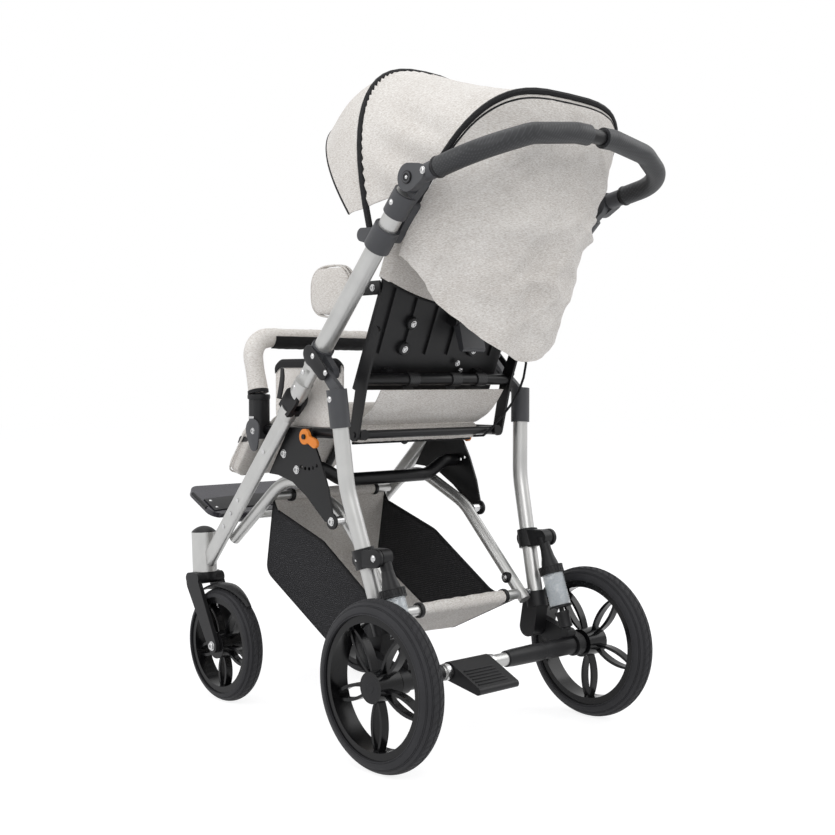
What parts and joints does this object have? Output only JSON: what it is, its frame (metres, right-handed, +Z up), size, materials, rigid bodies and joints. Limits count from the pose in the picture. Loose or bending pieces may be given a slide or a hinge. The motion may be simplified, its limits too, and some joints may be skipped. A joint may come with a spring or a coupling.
{
  "type": "special needs buggy",
  "caption": "Folding pushchair for a disabled child: castors in front, sprung rear axle, tilting seat with bumper bar and footrest, fan hood with rear drape, swivelling handle and mesh basket.",
  "frame": {"origin": "on the floor, at the middle of the bounding box", "axes": "+X to the seated child's left, +Y to the rear where the pusher stands, +Z up"},
  "size_m": [0.608, 1.07, 1.2748],
  "materials": {
    "silver_tube": "satin anodised",
    "fastener": "plated",
    "black_plastic": "matt moulded",
    "grey_plastic": "matt moulded",
    "black_steel": "black powder coat",
    "mesh": "woven mesh",
    "clear_cylinder": "clear moulded",
    "bow_rod": "black piping",
    "melange_cloth": "light grey melange weave",
    "grip": "hatched foam",
    "orange": "moulded",
    "gloss_rim": "gloss moulded",
    "tyre": "ribbed rubber"
  },
  "bodies": {
    "chassis": {"front_legs": "silver_tube", "steerer_caps": "black_plastic", "fold_locks": "black_plastic", "arch_tubes": "silver_tube", "seat_plates": "black_steel", "tilt_rail": "black_steel", "rear_legs": "silver_tube", "leg_caps": "grey_plastic", "rear_castings": "black_plastic", "cross_tubes": "silver_tube", "basket": "mesh", "frame_fasteners": "fastener", "shock_clamps": "black_plastic", "shock_cylinders": "clear_cylinder", "shock_springs": "fastener"},
    "push_frame": {"push_tubes": "silver_tube", "latch_brackets": "grey_plastic", "knuckle_bodies": "grey_plastic", "hood_clamps": "grey_plastic", "rear_bow": "bow_rod", "hood_drape": "melange_cloth", "hood_cloth": "melange_cloth"},
    "hood_front": {"front_bow": "bow_rod", "visor": "melange_cloth"},
    "handle": {"handle_knuckles": "grey_plastic", "handle_bar": "black_steel", "handle_grips": "grip"},
    "button_left": {"knuckle_button_left": "black_plastic"},
    "button_right": {"knuckle_button_right": "black_plastic"},
    "seat": {"seat_frame": "black_steel", "seat_board": "black_plastic", "seat_cushion": "melange_cloth", "side_guards": "melange_cloth", "bumper_sockets": "black_plastic"},
    "bumper": {"bumper_bar": "melange_cloth"},
    "backrest": {"back_frame": "black_steel", "back_shell": "black_plastic", "back_cushion": "melange_cloth", "trunk_supports": "melange_cloth", "recline_cable": "bow_rod"},
    "lever": {"recline_lever": "grey_plastic"},
    "legrest": {"legrest_frame": "black_steel", "calf_pad": "melange_cloth"},
    "footrest": {"footrest_rods": "silver_tube"},
    "foot_board": {"footplate": "grey_plastic", "footplate_grip": "grip"},
    "hooks": {"tilt_hooks": "orange"},
    "swing_arm": {"swing_arms": "black_plastic", "rear_axle": "silver_tube"},
    "pedal": {"brake_pedal": "black_plastic"},
    "castor_left": {"castor_fork_left": "black_plastic"},
    "castor_right": {"castor_fork_right": "black_plastic"},
    "rear_wheel_left": {"rear_rim_left": "gloss_rim", "rear_tyre_left": "tyre"},
    "rear_wheel_right": {"rear_rim_right": "gloss_rim", "rear_tyre_right": "tyre"},
    "front_wheel_left": {"front_rim_left": "gloss_rim", "front_tyre_left": "tyre"},
    "front_wheel_right": {"front_rim_right": "gloss_rim", "front_tyre_right": "tyre"}
  },
  "joints": [
    {"name": "fold", "type": "hinge", "parent": "chassis", "child": "push_frame", "pos_m": [0, -0.03698, 0.64035], "axis": [1, 0, 0], "range_deg": [0, 95], "deforming": ["hood_drape"]},
    {"name": "handle_angle", "type": "hinge", "parent": "push_frame", "child": "handle", "pos_m": [0, 0.32823, 1.015], "axis": [1, 0, 0], "range_deg": [-45, 18]},
    {"name": "button_left_press", "type": "slide", "parent": "handle", "child": "button_left", "axis": [-1, 0, 0], "range_m": [0, 0.004], "stiffness_N_per_m": 800, "springref_m": -0.003},
    {"name": "button_right_press", "type": "slide", "parent": "handle", "child": "button_right", "axis": [1, 0, 0], "range_m": [0, 0.004], "stiffness_N_per_m": 800, "springref_m": -0.003},
    {"name": "hood_fold", "type": "hinge", "parent": "push_frame", "child": "hood_front", "pos_m": [0, 0.18824, 0.932], "axis": [1, 0, 0], "range_deg": [-40, 0], "deforming": ["hood_cloth"]},
    {"name": "seat_tilt", "type": "hinge", "parent": "chassis", "child": "seat", "pos_m": [0, -0.02476, 0.566], "axis": [1, 0, 0], "range_deg": [-20, 0], "deforming": ["hood_drape"]},
    {"name": "recline", "type": "hinge", "parent": "seat", "child": "backrest", "pos_m": [0, 0.10623, 0.573], "axis": [1, 0, 0], "range_deg": [-25, 0], "deforming": ["recline_cable", "hood_drape"]},
    {"name": "recline_lever_pull", "type": "hinge", "parent": "backrest", "child": "lever", "pos_m": [0, 0.16844, 0.7871], "axis": [1, 0, 0], "range_deg": [0, 25]},
    {"name": "bumper_lift", "type": "slide", "parent": "seat", "child": "bumper", "axis": [0, 0, 1], "range_m": [0, 0.06]},
    {"name": "legrest_angle", "type": "hinge", "parent": "seat", "child": "legrest", "pos_m": [0, -0.26676, 0.573], "axis": [1, 0, 0], "range_deg": [-50, 0]},
    {"name": "footrest_length", "type": "slide", "parent": "legrest", "child": "footrest", "axis": [0, -0.6, -0.8], "range_m": [0, 0.05]},
    {"name": "footplate_flip", "type": "hinge", "parent": "footrest", "child": "foot_board", "pos_m": [0, -0.41676, 0.373], "axis": [-1, 0, 0], "range_deg": [-10, 60]},
    {"name": "tilt_hook_turn", "type": "hinge", "parent": "seat", "child": "hooks", "pos_m": [0, -0.02476, 0.566], "axis": [1, 0, 0], "range_deg": [0, 40]},
    {"name": "suspension", "type": "hinge", "parent": "chassis", "child": "swing_arm", "pos_m": [0, 0.19023, 0.178], "axis": [1, 0, 0], "range_deg": [0, 6], "stiffness_Nm_per_rad": 200, "springref_deg": -6.88, "deforming": ["shock_springs"]},
    {"name": "brake", "type": "hinge", "parent": "swing_arm", "child": "pedal", "pos_m": [0, 0.27824, 0.15], "axis": [1, 0, 0], "range_deg": [-12, 8]},
    {"name": "rear_spin_left", "type": "hinge", "parent": "swing_arm", "child": "rear_wheel_left", "pos_m": [0.28, 0.27824, 0.15], "axis": [1, 0, 0], "continuous": true},
    {"name": "rear_spin_right", "type": "hinge", "parent": "swing_arm", "child": "rear_wheel_right", "pos_m": [-0.28, 0.27824, 0.15], "axis": [1, 0, 0], "continuous": true},
    {"name": "castor_left_swivel", "type": "hinge", "parent": "chassis", "child": "castor_left", "pos_m": [0.19, -0.39576, 0.265], "axis": [0, -0.0523, 0.9986], "continuous": true},
    {"name": "castor_right_swivel", "type": "hinge", "parent": "chassis", "child": "castor_right", "pos_m": [-0.19, -0.39576, 0.265], "axis": [0, -0.0523, 0.9986], "continuous": true},
    {"name": "front_spin_left", "type": "hinge", "parent": "castor_left", "child": "front_wheel_left", "pos_m": [0.19, -0.32002, 0.119], "axis": [1, 0, 0], "continuous": true},
    {"name": "front_spin_right", "type": "hinge", "parent": "castor_right", "child": "front_wheel_right", "pos_m": [-0.19, -0.32002, 0.119], "axis": [1, 0, 0], "continuous": true}
  ]
}
